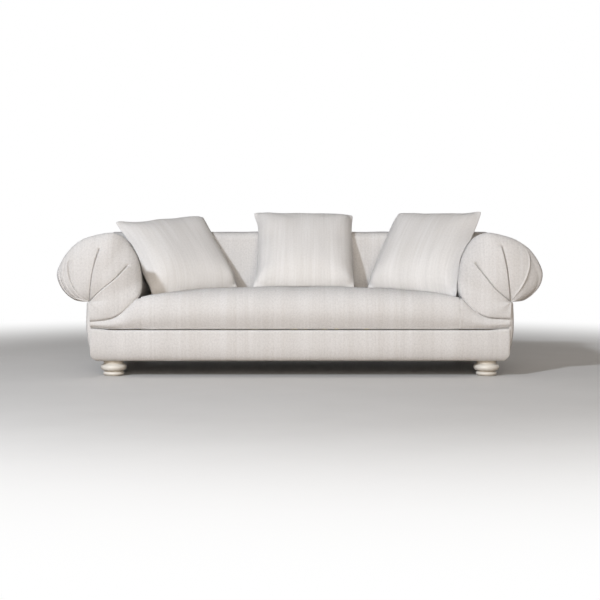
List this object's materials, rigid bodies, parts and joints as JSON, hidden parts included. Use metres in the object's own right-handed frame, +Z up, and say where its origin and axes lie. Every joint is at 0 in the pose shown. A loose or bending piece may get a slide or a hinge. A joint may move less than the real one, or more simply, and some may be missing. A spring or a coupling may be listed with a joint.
{
  "type": "french style sofa",
  "caption": "Long sofa with pleated scroll arms, one crowned T-front seat, low tight back, turned bun feet and loose square cushions.",
  "frame": {"origin": "middle of the footprint, on the floor under the feet", "axes": "+Z up, the front faces -Y, +X to the right of someone who looks at the front"},
  "size_m": [2.4592, 1.04, 0.8477],
  "materials": {
    "cover_fabric": "off-white slubbed linen and cotton weave, matt",
    "cushion_fabric": "the same off-white slubbed weave as the covers",
    "turned_foot": "cream-white satin paint on turned wood",
    "glide": "plain nylon",
    "steel": "zinc plated",
    "hardwood": "sawn hardwood, unfinished",
    "plywood": "birch plywood, unfinished",
    "webbing": "woven jute",
    "felt": "grey insulator felt",
    "foam": "cream cut foam",
    "down_insert": "white cotton down-proof cloth",
    "dust_cloth": "black non-woven cloth"
  },
  "bodies": {
    "sofa": {"foot_front_left": "turned_foot", "foot_front_right": "turned_foot", "foot_rear_left": "turned_foot", "foot_rear_right": "turned_foot", "foot_glides": "glide", "foot_bolts": "steel", "tee_nuts": "steel", "front_rail": "hardwood", "back_rail": "hardwood", "side_rail_left": "hardwood", "side_rail_right": "hardwood", "seat_stretchers": "hardwood", "corner_blocks": "hardwood", "corner_screws": "steel", "arm_front_board_left": "plywood", "arm_front_board_right": "plywood", "arm_rear_board_left": "plywood", "arm_rear_board_right": "plywood", "arm_slats_left": "hardwood", "arm_slats_right": "hardwood", "arm_bolts": "steel", "back_end_posts": "hardwood", "back_uprights": "hardwood", "back_top_rail": "hardwood", "back_tack_rail": "hardwood", "seat_webbing": "webbing", "back_webbing": "webbing", "seat_insulator": "felt", "seat_foam": "foam", "back_foam": "foam", "seat_cover": "cover_fabric", "arm_cover_left": "cover_fabric", "arm_cover_right": "cover_fabric", "arm_facing_left": "cover_fabric", "arm_facing_right": "cover_fabric", "back_cover": "cover_fabric", "outside_back": "cover_fabric", "outside_arm_left": "cover_fabric", "outside_arm_right": "cover_fabric", "front_border": "cover_fabric", "dust_cover": "dust_cloth"},
    "cushion_left": {"cushion_cover_left": "cushion_fabric", "cushion_insert_left": "down_insert"},
    "cushion_centre": {"cushion_cover_centre": "cushion_fabric", "cushion_insert_centre": "down_insert"},
    "cushion_right": {"cushion_cover_right": "cushion_fabric", "cushion_insert_right": "down_insert"}
  },
  "joints": [
    {"name": "cushion_left_lift", "type": "slide", "parent": "sofa", "child": "cushion_left", "axis": [0, 0, 1], "range_m": [0, 0.6]},
    {"name": "cushion_centre_lift", "type": "slide", "parent": "sofa", "child": "cushion_centre", "axis": [0, 0, 1], "range_m": [0, 0.6]},
    {"name": "cushion_right_lift", "type": "slide", "parent": "sofa", "child": "cushion_right", "axis": [0, 0, 1], "range_m": [0, 0.6]}
  ]
}
